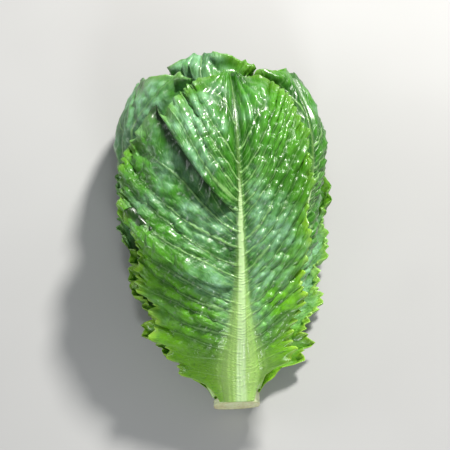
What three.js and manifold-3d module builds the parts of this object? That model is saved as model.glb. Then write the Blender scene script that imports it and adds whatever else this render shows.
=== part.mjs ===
// A head of romaine lettuce lying on its side, as it is packed and sold, in millimetres with +Z up.
// +Y runs from the cut butt to the leaf tips. The head is a short stem, eleven large leaves that
// wrap round it one over another, and a heart of small leaves. Each large leaf is a solid of its own.
//
// The leaves are laid out in the head's own space. A point there has a station (distance from the
// cut along the head), an azimuth (angle round the head, 0 at the top and 90 to the right) and a
// height above the head's outer form. Each leaf keeps to a layer of its own in that space, so that
// no two leaves meet however their edges wave.
import * as THREE from "three";
import { mergeVertices } from "three/addons/utils/BufferGeometryUtils.js";
import Module from "manifold-3d";

const wasm = await Module();
wasm.setup();

// The head's outer form: at each station, half its width and half its height under the outer leaf.
const HALF_WIDTH = [
  [-10, 17], [0, 18.5], [25, 30], [60, 48], [110, 67], [160, 76], [205, 76], [238, 66], [277, 44],
];
const HALF_HEIGHT = [
  [-10, 15], [0, 16.5], [25, 24], [60, 35], [110, 44], [160, 49], [205, 48], [242, 41], [277, 31],
];
// How far the form's underside is over the table, so that the outer leaf there rests on it.
const REST_CLEARANCE = [[-10, 5], [0, 5], [60, 2], [105, -1], [198, -1], [242, 2], [277, 6]];
const UNDERSIDE_SQUARENESS = 0.55;
const TABLE_SNAP = 1.7;
// Towards the tips the layers close over the middle, the inner ones most: how much of its width
// and of its height each layer gives up there.
const CLOSING_FROM = 190;
const CLOSING_TO = 277;
const CLOSING_WIDTH = [[0, 0], [3, 0], [10, 0.5], [16, 0.72]];
const CLOSING_HEIGHT = [[0, 0], [3, 0], [10, 0.24], [16, 0.36]];

// The leaves' layers, one under another.
const LAYER_STEP = [[0, 1.4], [50, 1.6], [80, 2], [140, 2.4], [300, 2.4]];
const BLADE_THICKNESS = 0.8;
const GOLDEN_ANGLE = 137.5;

// A leaf's outline: the share of its full half width, from its root (0) to its tip (1).
const OUTLINE = [
  [-0.05, 0.15], [0, 0.18], [0.05, 0.3], [0.1, 0.46], [0.2, 0.62], [0.3, 0.74], [0.42, 0.86],
  [0.55, 0.94], [0.68, 1], [0.78, 0.98], [0.86, 0.9], [0.93, 0.74], [0.975, 0.5], [1, 0.14], [1.03, 0],
];
// Where on the midrib a side vein starts, for each place on the edge where it ends.
const VEIN_START = [
  [0, 0], [0.1, 0.07], [0.25, 0.15], [0.4, 0.225], [0.57, 0.31], [0.75, 0.42], [0.88, 0.54],
  [0.96, 0.7], [1, 1],
];
const VEIN_CURVE = 1.5;
// The midrib along a leaf: its half width in millimetres, and its height as a share of the root's.
const RIB_HALF_WIDTH = [
  [0, 13], [0.06, 14], [0.12, 12.5], [0.2, 8.5], [0.3, 5.5], [0.45, 3.8], [0.7, 2.4], [1, 1.2],
];
const RIB_HEIGHT = [[0, 1], [0.12, 0.85], [0.3, 0.56], [0.5, 0.36], [0.75, 0.18], [1, 0.08]];
const RIB_ROOM_SPREAD = 1.45;

// How the blade stands off its layer where nothing covers it: it bulges beside the midrib, is
// quilted between the side veins, flares and waves along the edge, and curls up at the tip.
const BULGE = 4;
const QUILT_DEPTH = 1.2;
const EDGE_FLARE = [[0, 0], [0.05, 8], [0.15, 13], [0.35, 8], [0.7, 6], [1, 3]];
const RUFFLE_HEIGHT = [[0, 3], [0.1, 8], [0.3, 7.5], [0.6, 5.5], [0.85, 4], [1, 3]];
const RUFFLES = 6.5;
// By how many ruffles the wave is shifted from leaf to leaf and from side to side, and how far
// and how fast its pace wanders.
const RUFFLE_SHIFT = 0.31;
const RUFFLE_SIDE_SHIFT = 0.27;
const RUFFLE_WANDER = 1.2;
const RUFFLE_PACE = 7;
const TOOTH_DEPTH = 0.045;
const COVER_MARGIN = 8;
const COVER_FADE = 14;

const rad = THREE.MathUtils.degToRad;
const smooth = (x, low, high) => THREE.MathUtils.smoothstep(x, low, high);

// The height at x of a smooth curve through stations [x, y].
function along(stations, x) {
  const last = stations.length - 1;
  let k = 0;
  while (k < last - 1 && x > stations[k + 1][0]) k++;
  const [x1, y1] = stations[k];
  const [x2, y2] = stations[k + 1];
  const [x0, y0] = stations[Math.max(k - 1, 0)];
  const [x3, y3] = stations[Math.min(k + 2, last)];
  const t = THREE.MathUtils.clamp((x - x1) / (x2 - x1), 0, 1);
  const m1 = k > 0 ? ((y2 - y0) / (x2 - x0)) * (x2 - x1) : y2 - y1;
  const m2 = k < last - 1 ? ((y3 - y1) / (x3 - x1)) * (x2 - x1) : y2 - y1;
  return (
    (2 * t ** 3 - 3 * t ** 2 + 1) * y1 + (t ** 3 - 2 * t ** 2 + t) * m1 +
    (-2 * t ** 3 + 3 * t ** 2) * y2 + (t ** 3 - t ** 2) * m2
  );
}

// Where the columns of a leaf's mesh lie, as shares of its half width from the midrib.
const COLUMNS_FINE = [0.09, 0.22, 0.42, 0.64, 0.84, 1];
const COLUMNS_PLAIN = [0.1, 0.26, 0.55, 0.8, 1];
const COLUMNS_HEART = [0.15, 0.5, 1];

// The large leaves, from the outside in: the two wrappers over and under the head, one at each
// side, and then a spiral at the golden angle.
const LARGE_LEAVES = 11;
const OUTER_AZIMUTHS = [9, 180, -76, 66];
const SPIRAL_START = -14;
const TIP_STATIONS = [245, 243, 255, 253, 268, 255, 259, 264, 249, 251, 247];
const HALF_BREADTHS = [73, 100, 68, 60, 70, 64, 62, 64, 56, 54, 52];
const ROOT_STEP = 3.8;
// How much wider each outer leaf is to the right of its midrib than to the left.
const LOPSIDED = [-0.27, 0.03, 0, 0.05];
// The top leaf's left shoulder slopes away, and its left edge has a notch at the lower fold.
const SHOULDER = { from: 0.77, to: 0.95, cut: 0.5 };
const NOTCH = { at: 0.555, width: 0.022, cut: 0.13 };
// From which station the outer leaves' midribs stand proud of the head. The others press inwards.
const PROUD_FROM = [-40, Infinity, 25, 25];
const PROUD_RAMP = 35;
const TIP_CURLS = [1, 3, 6, 7, 6, 7, 7, 8];
// The top leaf's left half is folded over itself along two side veins. Each fold has the place on
// the edge where it ends, and the height of its lip.
const FOLDS = [{ at: 0.57, height: 8 }, { at: 0.88, height: 7 }];
const FOLD_FADE = 0.17;

function largeLeaf(index) {
  const outer = index < OUTER_AZIMUTHS.length;
  const turned = SPIRAL_START + GOLDEN_ANGLE * (index - OUTER_AZIMUTHS.length);
  const root = 0.5 + ROOT_STEP * index;
  return {
    index,
    azimuth: outer ? OUTER_AZIMUTHS[index] : THREE.MathUtils.euclideanModulo(turned + 180, 360) - 180,
    root,
    length: TIP_STATIONS[index] - root,
    width: HALF_BREADTHS[index],
    lopsided: LOPSIDED[index] ?? 0,
    ribHeight: 5.2 - 0.32 * index,
    ribScale: 1 - 0.05 * index,
    proudFrom: PROUD_FROM[index] ?? Infinity,
    curl: TIP_CURLS[index] ?? 5,
    folds: index === 0 ? FOLDS : [],
    rows: index < 2 ? 32 : index < 5 ? 26 : index < 8 ? 22 : 18,
    columns: index < 5 ? COLUMNS_FINE : COLUMNS_PLAIN,
  };
}

// The heart's leaves go on with the spiral inside the large ones, ever shorter and narrower.
const HEART_LEAVES = 6;
const HEART_TIP_STATIONS = [254, 250, 245, 239, 232, 223];
const HEART_BREADTH = 50;
const HEART_NARROWING = 4;

function heartLeaf(k) {
  const root = 46 + 3 * k;
  return {
    ...largeLeaf(LARGE_LEAVES + k),
    root,
    length: HEART_TIP_STATIONS[k] - root,
    width: HEART_BREADTH - HEART_NARROWING * k,
    ribHeight: 1.4 - 0.1 * k,
    ribScale: 0.45,
    rows: 12,
    columns: COLUMNS_HEART,
  };
}

const leaves = Array.from({ length: LARGE_LEAVES + HEART_LEAVES }, (_, i) =>
  i < LARGE_LEAVES ? largeLeaf(i) : heartLeaf(i - LARGE_LEAVES));

// Millimetres round the head for each radian of azimuth.
function arcRate(station, azimuth) {
  const a = along(HALF_WIDTH, station) * Math.cos(rad(azimuth));
  const b = along(HALF_HEIGHT, station) * Math.sin(rad(azimuth));
  return Math.hypot(a, b);
}

// The distance round the head from a leaf's midrib, in millimetres.
function fromMidrib(leaf, station, azimuth) {
  const turn = THREE.MathUtils.euclideanModulo(azimuth - leaf.azimuth + 180, 360) - 180;
  return rad(turn) * arcRate(station, leaf.azimuth);
}

const share = (leaf, station) => (station - leaf.root) / leaf.length;

// A leaf's half width at a station, to the left (side -1) or right (side 1) of its midrib.
function halfWidthAt(leaf, station, side) {
  const t = share(leaf, station);
  const full = leaf.width * (1 + side * leaf.lopsided) * Math.max(along(OUTLINE, t), 0);
  if (leaf.index > 0 || side > 0) return full;
  const notch = NOTCH.cut * Math.exp(-(((t - NOTCH.at) / NOTCH.width) ** 2));
  return full * (1 - SHOULDER.cut * smooth(t, SHOULDER.from, SHOULDER.to)) * (1 - notch);
}

// The midrib's thickness over the blade, at a distance from its middle.
function ribOver(leaf, station, distance, spread = 1) {
  const t = THREE.MathUtils.clamp(share(leaf, station), 0, 1);
  const reach = along(RIB_HALF_WIDTH, t) * leaf.ribScale * spread;
  const q = Math.min(Math.abs(distance) / reach, 1);
  const crown = spread > 1 ? (1 - q * q) ** 1.5 * 1.2 : (1 - q * q) ** 0.75;
  return leaf.ribHeight * along(RIB_HEIGHT, t) * crown;
}

function ribRoom(leaf, station, azimuth) {
  const pressed = 1 - smooth(station, leaf.proudFrom, leaf.proudFrom + PROUD_RAMP);
  return pressed * ribOver(leaf, station, fromMidrib(leaf, station, azimuth), RIB_ROOM_SPREAD);
}

// How deep a leaf's layer lies under the head's outer form. Each layer leaves room for the
// midribs of the leaves outside it, except those that stand proud of the head.
function layerDepth(index, station, azimuth) {
  let depth = index * along(LAYER_STEP, station);
  for (const leaf of leaves.slice(0, index + 1)) depth += ribRoom(leaf, station, azimuth);
  return depth;
}

// How free a leaf is to wave at a point: 0 under another leaf or on the table, 1 in the open.
function exposure(index, station, azimuth) {
  let free = 1;
  for (const leaf of leaves.slice(0, index)) {
    const distance = fromMidrib(leaf, station, azimuth);
    const past = Math.abs(distance) - halfWidthAt(leaf, station, Math.sign(distance));
    const beyondTip = station - leaf.root - leaf.length;
    const clear = Math.max(past, beyondTip);
    free *= smooth(clear, COVER_MARGIN, COVER_MARGIN + COVER_FADE);
  }
  const overTable = placed(station, azimuth, 0).z;
  return free * smooth(overTable, 5, 20);
}

// A point of the head's own space, in the part's frame. It lies at a height over a layer, which
// is itself closed by its own share.
function placed(station, azimuth, height, index = 0, over = 0) {
  const closed = smooth(station, CLOSING_FROM, CLOSING_TO);
  const narrowed = 1 - closed * along(CLOSING_WIDTH, index);
  const lowered = 1 - closed * along(CLOSING_HEIGHT, index);
  const a = (along(HALF_WIDTH, station) + height) * narrowed + over;
  const b = (along(HALF_HEIGHT, station) + height) * lowered + over;
  const c = Math.cos(rad(azimuth));
  const level = c >= 0 ? c : -((-c) ** UNDERSIDE_SQUARENESS);
  const axis = along(HALF_HEIGHT, station) + along(REST_CLEARANCE, station);
  return new THREE.Vector3(a * Math.sin(rad(azimuth)), station, axis + b * level);
}

// How far a fold lifts the blade, at v along the edge and u across.
function foldLift(leaf, v, u) {
  const across = Math.abs(u);
  let lift = 0;
  for (const fold of leaf.folds) {
    const past = v - fold.at;
    if (u >= 0 || past < 0) continue;
    lift += fold.height * (1 - smooth(past, 0, FOLD_FADE)) * smooth(across, 0.06, 0.3);
  }
  return lift;
}

// Where row v (0 at the root, 1 at the tip) and column u (-1 to 1 across) of a leaf's mesh lie,
// with the blade's lift over its layer there. Rows follow the side veins, and every second row
// is a vein, which ends in a tooth of the edge.
function bladePoint(leaf, row, u) {
  const even = row / leaf.rows;
  const v = even * (1.25 - 0.25 * even);
  const side = u < 0 ? -1 : 1;
  const across = Math.abs(u);
  const veinStart = along(VEIN_START, v);
  const station = leaf.root + leaf.length * (veinStart + (v - veinStart) * across ** VEIN_CURVE);
  const edgeStation = leaf.root + leaf.length * v;
  const vein = row % 2 === 0 ? 1 : -1;
  const uneven = 0.75 + 0.25 * Math.sin(2.4 * row + leaf.index);
  const tooth = 1 + TOOTH_DEPTH * vein * uneven * smooth(across, 0.84, 1) * smooth(v, 0.04, 0.14);
  const distance = u * halfWidthAt(leaf, edgeStation, side) * tooth;
  const azimuth = leaf.azimuth + THREE.MathUtils.radToDeg(distance / arcRate(station, leaf.azimuth));
  const shift = RUFFLE_SHIFT * leaf.index + RUFFLE_SIDE_SHIFT * side;
  const wander = RUFFLE_WANDER * Math.sin(RUFFLE_PACE * v);
  const wave = Math.sin(2 * Math.PI * (RUFFLES * v + shift) + wander);
  const ruffle = along(RUFFLE_HEIGHT, v) * (0.5 + 0.5 * wave) * smooth(across, 0.5, 1);
  const inside = smooth(across, 0.05, 0.4) * (1 - 0.5 * smooth(across, 0.7, 1));
  const quilt = QUILT_DEPTH * 0.5 * (1 + vein) * smooth(across, 0.1, 0.3) * (1 - smooth(across, 0.8, 1));
  const flare = along(EDGE_FLARE, v) * across ** 2.5;
  const curl = leaf.curl * smooth(v, 0.85, 1);
  const bulge = BULGE * inside * smooth(v, 0.15, 0.35) + foldLift(leaf, v, u);
  const free = exposure(leaf.index, station, azimuth) * smooth(v, 0.03, 0.12);
  return { station, azimuth, distance, lift: free * Math.max(bulge + quilt + ruffle + flare + curl, 0) };
}

// A closed slab between an inner and an outer net of points, each a list of rows of equal length.
function slab(inner, outer) {
  const rows = inner.length;
  const columns = inner[0].length;
  const points = [...inner.flat(), ...outer.flat()];
  const at = (side, r, c) => (side * rows + r) * columns + c;
  const index = [];
  const quad = (p, q, r, s) => index.push(p, q, r, p, r, s);
  for (let r = 0; r + 1 < rows; r++) {
    for (let c = 0; c + 1 < columns; c++) {
      index.push(at(1, r, c), at(1, r, c + 1), at(1, r + 1, c + 1));
      index.push(at(1, r, c), at(1, r + 1, c + 1), at(1, r + 1, c));
      index.push(at(0, r, c), at(0, r + 1, c + 1), at(0, r, c + 1));
      index.push(at(0, r, c), at(0, r + 1, c), at(0, r + 1, c + 1));
    }
  }
  for (let r = 0; r + 1 < rows; r++) {
    quad(at(0, r, 0), at(1, r, 0), at(1, r + 1, 0), at(0, r + 1, 0));
    quad(at(0, r, columns - 1), at(0, r + 1, columns - 1), at(1, r + 1, columns - 1), at(1, r, columns - 1));
  }
  for (let c = 0; c + 1 < columns; c++) {
    quad(at(0, 0, c), at(0, 0, c + 1), at(1, 0, c + 1), at(1, 0, c));
    quad(at(0, rows - 1, c), at(1, rows - 1, c), at(1, rows - 1, c + 1), at(0, rows - 1, c + 1));
  }
  const geometry = new THREE.BufferGeometry().setFromPoints(points);
  geometry.setIndex(index);
  return geometry;
}

// A leaf that waves with its edges free, and is pressed flat where it lies on the table.
function leafGeometry(leaf) {
  const across = [...leaf.columns.map((u) => -u).reverse(), 0, ...leaf.columns];
  const inner = [];
  const outer = [];
  for (let row = 0; row <= leaf.rows; row++) {
    const low = [];
    const high = [];
    for (const u of across) {
      const p = bladePoint(leaf, row, u);
      const base = p.lift - layerDepth(leaf.index, p.station, p.azimuth);
      const thickness = BLADE_THICKNESS + ribOver(leaf, p.station, p.distance);
      const top = placed(p.station, p.azimuth, base, leaf.index, thickness);
      if (top.z < TABLE_SNAP) top.z = 0;
      low.push(placed(p.station, p.azimuth, base, leaf.index));
      high.push(top);
    }
    inner.push(low);
    outer.push(high);
  }
  return slab(inner, outer);
}

// A closed solid round the head's axis, through rings of points that run round it alike.
function loft(stations, heightAt) {
  const rings = stations.map((station) =>
    Array.from({ length: LOFT_SIDES }, (_, k) => {
      const azimuth = (k * 360) / LOFT_SIDES;
      return placed(station, azimuth, heightAt(station, azimuth));
    }));
  const middle = (ring) => ring.reduce((sum, p) => sum.add(p), new THREE.Vector3()).divideScalar(LOFT_SIDES);
  const points = [...rings.flat(), middle(rings[0]), middle(rings.at(-1))];
  const first = rings.length * LOFT_SIDES;
  const index = [];
  for (let k = 0; k < LOFT_SIDES; k++) {
    const next = (k + 1) % LOFT_SIDES;
    for (let r = 0; r + 1 < rings.length; r++) {
      const low = r * LOFT_SIDES;
      const high = low + LOFT_SIDES;
      index.push(low + k, low + next, high + next, low + k, high + next, high + k);
    }
    const last = first - LOFT_SIDES;
    index.push(first, next, k, first + 1, last + k, last + next);
  }
  const geometry = new THREE.BufferGeometry().setFromPoints(points);
  geometry.setIndex(index);
  return geometry;
}

// The stem is what the leaves' roots leave free, from the cut to the foot of the heart.
const LOFT_SIDES = 28;
const STEM_TOP = 42;
const STEM_STATIONS = [-1, 2, 5, 9, 13, 17, 21, 25, 29, 33, 37, STEM_TOP];
const STEM_GAP = 0.7;

function stemHeight(station, azimuth) {
  let depth = STEM_GAP;
  for (const leaf of leaves.slice(0, LARGE_LEAVES)) {
    const begun = smooth(station, leaf.root - 5, leaf.root - 1);
    const step = leaf.index > 0 ? along(LAYER_STEP, station) : 0;
    depth += begun * (step + ribRoom(leaf, station, azimuth));
  }
  return -depth;
}

// The heart's core fills its foot, then draws in and leaves the small leaves standing.
const CORE_STATIONS = [STEM_TOP + 0.6, 48, 54, 60, 68, 78, 90, 104, 120, 134];
const CORE_DRAWS_IN = [56, 92];
const CORE_EDGE = 1.6;

function coreHeight(station, azimuth) {
  const outside = layerDepth(LARGE_LEAVES, station, azimuth) + 0.5 * along(LAYER_STEP, station);
  const inside = layerDepth(leaves.length - 1, station, azimuth) + along(LAYER_STEP, station);
  const drawn = smooth(station, ...CORE_DRAWS_IN);
  const closed = along(HALF_HEIGHT, station) - CORE_EDGE;
  const depth = outside + (inside - outside) * drawn;
  const tapered = depth + (closed - depth) * smooth(station, 100, 134);
  return -Math.min(tapered, closed);
}

const solidOf = (geometry) => {
  const bare = geometry.clone();
  bare.deleteAttribute("normal");
  const merged = mergeVertices(bare, 1e-4);
  return new wasm.Manifold(new wasm.Mesh({
    numProp: 3,
    vertProperties: merged.attributes.position.array,
    triVerts: new Uint32Array(merged.index.array),
  }));
};

function geometryOf(solid) {
  const mesh = solid.getMesh();
  const geometry = new THREE.BufferGeometry();
  geometry.setAttribute("position", new THREE.BufferAttribute(mesh.vertProperties, 3));
  geometry.setIndex(new THREE.BufferAttribute(mesh.triVerts, 1));
  return geometry;
}

// The small leaves, fused with the core. The hollows that this seals are filled.
function heartGeometry() {
  const core = solidOf(loft(CORE_STATIONS, coreHeight));
  const blades = leaves.slice(LARGE_LEAVES).map((leaf) => solidOf(leafGeometry(leaf)));
  const shells = blades.reduce((whole, blade) => whole.add(blade), core).decompose();
  return geometryOf(shells.reduce((best, shell) => (shell.volume() > best.volume() ? shell : best)));
}

const GREENS = { leaf: 0x4f9a2c, inner: 0x86bd4a, heart: 0xc5dc7d, stem: 0xd9e2b2 };

function piece(name, geometry, color, roughness) {
  const mesh = new THREE.Mesh(geometry, new THREE.MeshStandardMaterial({ color, roughness, metalness: 0 }));
  mesh.geometry.computeVertexNormals();
  mesh.name = name;
  return mesh;
}

const head = new THREE.Group();
head.add(piece("stem", loft(STEM_STATIONS, stemHeight), GREENS.stem, 0.6));
head.add(piece("heart", heartGeometry(), GREENS.heart, 0.5));
for (const leaf of leaves.slice(0, LARGE_LEAVES)) {
  const number = String(leaf.index + 1).padStart(2, "0");
  const color = leaf.index < 6 ? GREENS.leaf : GREENS.inner;
  head.add(piece(`leaf_${number}`, leafGeometry(leaf), color, 0.45));
}

// The origin is under the middle of the head, on the table.
const bounds = new THREE.Box3().setFromObject(head);
head.position.set(-(bounds.min.x + bounds.max.x) / 2, -(bounds.min.y + bounds.max.y) / 2, -bounds.min.z);

export default head;
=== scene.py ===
"""A head of romaine lettuce on a pale table: long ruffled leaves wrapped round a cut stem."""

import math
from dataclasses import dataclass

import bmesh
import bpy
import numpy as np
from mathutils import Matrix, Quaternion, Vector


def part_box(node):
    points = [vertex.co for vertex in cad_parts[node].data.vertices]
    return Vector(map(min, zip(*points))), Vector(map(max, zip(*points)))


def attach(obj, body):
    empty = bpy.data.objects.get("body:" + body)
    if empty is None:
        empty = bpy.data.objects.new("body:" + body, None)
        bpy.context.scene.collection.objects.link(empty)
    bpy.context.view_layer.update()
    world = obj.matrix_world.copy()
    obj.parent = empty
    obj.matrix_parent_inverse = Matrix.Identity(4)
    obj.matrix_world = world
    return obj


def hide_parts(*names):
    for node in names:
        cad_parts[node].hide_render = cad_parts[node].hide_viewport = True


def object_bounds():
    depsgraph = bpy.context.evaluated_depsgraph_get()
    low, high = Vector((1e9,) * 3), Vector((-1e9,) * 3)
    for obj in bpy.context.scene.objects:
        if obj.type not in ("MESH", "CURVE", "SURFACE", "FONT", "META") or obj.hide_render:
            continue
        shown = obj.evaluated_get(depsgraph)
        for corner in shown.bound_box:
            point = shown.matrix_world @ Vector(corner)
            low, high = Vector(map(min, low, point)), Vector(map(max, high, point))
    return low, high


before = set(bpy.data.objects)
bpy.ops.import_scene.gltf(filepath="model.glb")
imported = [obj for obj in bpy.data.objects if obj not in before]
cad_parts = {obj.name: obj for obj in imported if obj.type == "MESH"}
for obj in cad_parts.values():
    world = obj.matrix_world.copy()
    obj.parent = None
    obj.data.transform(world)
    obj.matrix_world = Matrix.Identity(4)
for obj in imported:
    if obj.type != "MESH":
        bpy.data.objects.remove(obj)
cad_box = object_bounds()

MM = 0.001
TURN = 2 * math.pi

# The head's outer form, in millimetres from the cut: half its width and half its height.
HALF_WIDTH = [
    (-10, 17), (0, 18.5), (25, 30), (60, 48), (110, 67), (160, 76), (205, 76), (238, 66), (277, 44),
]
HALF_HEIGHT = [
    (-10, 15), (0, 16.5), (25, 24), (60, 35), (110, 44), (160, 49), (205, 48), (242, 41), (277, 31),
]
REST_CLEARANCE = [(-10, 5), (0, 5), (60, 2), (105, -1), (198, -1), (242, 2), (277, 6)]
UNDERSIDE_SQUARENESS = 0.55
PRESSED_HEIGHT = 1.7
LAYER_STEP = [(0, 1.4), (50, 1.6), (80, 2), (140, 2.4), (300, 2.4)]
CLOSING_FROM = 190
CLOSING_TO = 277
CLOSING_WIDTH = [(0, 0), (3, 0), (10, 0.5), (16, 0.72)]
CLOSING_HEIGHT = [(0, 0), (3, 0), (10, 0.24), (16, 0.36)]

# A leaf's outline, the side veins' starts on the midrib, and the midrib's width and height.
OUTLINE = [
    (-0.05, 0.15), (0, 0.18), (0.05, 0.3), (0.1, 0.46), (0.2, 0.62), (0.3, 0.74), (0.42, 0.86),
    (0.55, 0.94), (0.68, 1), (0.78, 0.98), (0.86, 0.9), (0.93, 0.74), (0.975, 0.5), (1, 0.14), (1.03, 0),
]
VEIN_START = [
    (0, 0), (0.1, 0.07), (0.25, 0.15), (0.4, 0.225), (0.57, 0.31), (0.75, 0.42), (0.88, 0.54),
    (0.96, 0.7), (1, 1),
]
VEIN_CURVE = 1.5
RIB_HALF_WIDTH = [
    (0, 13), (0.06, 14), (0.12, 12.5), (0.2, 8.5), (0.3, 5.5), (0.45, 3.8), (0.7, 2.4), (1, 1.2),
]
RIB_HEIGHT = [(0, 1), (0.12, 0.85), (0.3, 0.56), (0.5, 0.36), (0.75, 0.18), (1, 0.08)]
RIB_ROOM_SPREAD = 1.45

# How a free blade stands off its layer.
BULGE = 4
EDGE_FLARE = [(0, 0), (0.05, 8), (0.15, 13), (0.35, 8), (0.7, 6), (1, 3)]
RUFFLE_HEIGHT = [(0, 3), (0.1, 8), (0.3, 7.5), (0.6, 5.5), (0.85, 4), (1, 3)]
RUFFLES = 6.5
RUFFLE_SHIFT = 0.31
RUFFLE_SIDE_SHIFT = 0.27
RUFFLE_WANDER = 1.2
RUFFLE_PACE = 7
COVER_MARGIN = 8
COVER_FADE = 14

# The finer relief, which only the living leaf has. First its edge: curls, frills, lobes and teeth.
# Each height runs from the root to the tip, and each FROM says how far out on the blade it starts.
RUFFLE_FROM = 0.5
CURL_HEIGHT = [(0, 3), (0.12, 5), (0.3, 4.2), (0.5, 2.6), (0.8, 2.4), (1, 3.6)]
CURLS = 15.5
CURL_FROM = 0.68
CURL_SLIP = 2.1
SLIP_FROM = 0.72
FRILL_HEIGHT = [(0, 1.6), (0.15, 2.8), (0.35, 2.2), (0.6, 1.4), (1, 1.8)]
FRILLS = 41
FRILL_FROM = 0.84
# Each drift bends the spacing of the notches: its size, its pace, and 1 where each leaf has its own.
LOBE_DEPTH = 0.055
LOBES = 14
LOBE_DRIFT = [(1.1, 8, 1), (0.5, 31, 0)]
TOOTH_DEPTH = 0.03
TEETH = 53
TOOTH_DRIFT = [(1.3, 17, 1), (1, 41, 1)]
NOTCHED_FROM = 0.78
# The tip is drawn longer, cut ragged, and waves less.
TIP_RAG = 1
TIP_TOOTH_DEPTH = 4
TIP_STRETCH = 0.13
TIP_CALM = 0.45
# Then the blade: raised side veins, rows of blisters between them, swellings and crinkles.
SIDE_VEINS = 15
TIP_VEINS = 4
TIP_VEINS_FROM = 0.86
VEIN_WARP = 0.006
VEIN_WARP_ACROSS = 7.0
VEIN_WARP_ALONG = 40.0
VEIN_HALF_WIDTH = 1.2
VEIN_RELIEF = 0.65
BLISTER_HEIGHT = 2.5
BLISTERS_ALONG_VEIN = 4.6
BLISTER_STEP = 0.37
BLISTER_PINCH = 0.34
SWELL_SEED = 100
SWELL_HEIGHT = 1.3
SWELL_LENGTHS = (34, 80)
CRINKLE_WAVES = 14
CRINKLE_HEIGHT = 0.8
CRINKLE_LENGTHS = (4, 12)
COVERED_RELIEF = 0.36
BLADE_THICKNESS = 0.7
EDGE_THICKNESS = 0.4
# The midrib's pale crown and the pale fan at its foot: half widths in millimetres.
PALE_CROWN = [(0, 4.2), (0.12, 4), (0.2, 3.6), (0.3, 3), (0.5, 2.1), (0.6, 1.3), (0.68, 0.6), (1, 0.3)]
PALE_FAN = [(0, 16), (0.07, 20), (0.12, 20), (0.2, 13), (0.3, 7.5), (0.45, 4.5), (0.7, 2.3), (1, 1)]
FIBRES_ACROSS = 6
FIBRE_SWAY = 1.3
FIBRE_RELIEF = 0.13
WIDEST_GAP = 40

# The large leaves from the outside in, and each one's place, size and form.
LARGE_LEAVES = 11
GOLDEN_ANGLE = 137.5
OUTER_AZIMUTHS = [9, 180, -76, 66]
SPIRAL_START = -14
TIP_STATIONS = [245, 243, 255, 253, 268, 255, 259, 264, 249, 251, 247]
HALF_BREADTHS = [73, 100, 68, 60, 70, 64, 62, 64, 56, 54, 52]
ROOT_STEP = 3.8
LOPSIDED = [-0.27, 0.03, 0, 0.05]
PROUD_FROM = [-40, math.inf, 25, 25]
PROUD_RAMP = 35
TIP_CURLS = [1, 3, 6, 7, 6, 7, 7, 8]

# The top leaf's left side: a sloping shoulder, a notch, and two folds (where along it, how high).
SHOULDER_FROM = 0.77
SHOULDER_TO = 0.95
SHOULDER_CUT = 0.5
NOTCH_AT = 0.555
NOTCH_WIDTH = 0.022
NOTCH_CUT = 0.13
FOLDS = [(0.57, 8), (0.88, 7)]
FOLD_FADE = 0.17
FOLD_EDGE = 0.013
FOLD_OVERHANG = 12
FOLD_GROOVE = 2.5

# The small leaves of the heart, from the outside in.
HEART_TIP_STATIONS = [254, 250, 245, 239, 232, 223]
HEART_BREADTH = 50
HEART_NARROWING = 4
HEART_ROOT = 46


@dataclass
class Leaf:
    """One leaf's place in the head and its size, in millimetres and degrees."""

    index: int
    azimuth: float
    root: float
    length: float
    width: float
    lopsided: float
    rib_height: float
    rib_scale: float
    proud_from: float
    curl: float


def at(values, index, otherwise):
    return values[index] if index < len(values) else otherwise


def spiral_azimuth(index):
    if index < len(OUTER_AZIMUTHS):
        return OUTER_AZIMUTHS[index]
    turned = SPIRAL_START + GOLDEN_ANGLE * (index - len(OUTER_AZIMUTHS))
    return (turned + 180) % 360 - 180


def large_leaf(index):
    root = 0.5 + ROOT_STEP * index
    return Leaf(
        index=index,
        azimuth=spiral_azimuth(index),
        root=root,
        length=TIP_STATIONS[index] - root,
        width=HALF_BREADTHS[index],
        lopsided=at(LOPSIDED, index, 0),
        rib_height=5.2 - 0.32 * index,
        rib_scale=1 - 0.05 * index,
        proud_from=at(PROUD_FROM, index, math.inf),
        curl=at(TIP_CURLS, index, 5),
    )


def heart_leaf(k):
    index = LARGE_LEAVES + k
    root = HEART_ROOT + 3 * k
    return Leaf(
        index=index,
        azimuth=spiral_azimuth(index),
        root=root,
        length=HEART_TIP_STATIONS[k] - root,
        width=HEART_BREADTH - HEART_NARROWING * k,
        lopsided=0,
        rib_height=1.4 - 0.1 * k,
        rib_scale=0.45,
        proud_from=math.inf,
        curl=5,
    )


LEAVES = [large_leaf(i) for i in range(LARGE_LEAVES)]
LEAVES += [heart_leaf(k) for k in range(len(HEART_TIP_STATIONS))]


# The head's own space: station along it, azimuth round it, height over its outer form.
def smooth(x, low, high):
    t = np.clip((x - low) / (high - low), 0, 1)
    return t * t * (3 - 2 * t)


def along(stations, x):
    """The height at x of a smooth curve through stations (x, y)."""
    xs, ys = np.array(stations, float).T
    x = np.asarray(x, float)
    slopes = np.empty_like(ys)
    slopes[1:-1] = (ys[2:] - ys[:-2]) / (xs[2:] - xs[:-2])
    slopes[0] = (ys[1] - ys[0]) / (xs[1] - xs[0])
    slopes[-1] = (ys[-1] - ys[-2]) / (xs[-1] - xs[-2])
    k = np.clip(np.searchsorted(xs, x) - 1, 0, len(xs) - 2)
    span = xs[k + 1] - xs[k]
    t = np.clip((x - xs[k]) / span, 0, 1)
    low = (2 * t**3 - 3 * t**2 + 1) * ys[k] + (t**3 - 2 * t**2 + t) * slopes[k] * span
    high = (3 * t**2 - 2 * t**3) * ys[k + 1] + (t**3 - t**2) * slopes[k + 1] * span
    return low + high


def arc_rate(station, azimuth):
    """Millimetres round the head for each radian of azimuth."""
    a = along(HALF_WIDTH, station) * np.cos(np.radians(azimuth))
    b = along(HALF_HEIGHT, station) * np.sin(np.radians(azimuth))
    return np.hypot(a, b)


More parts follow.
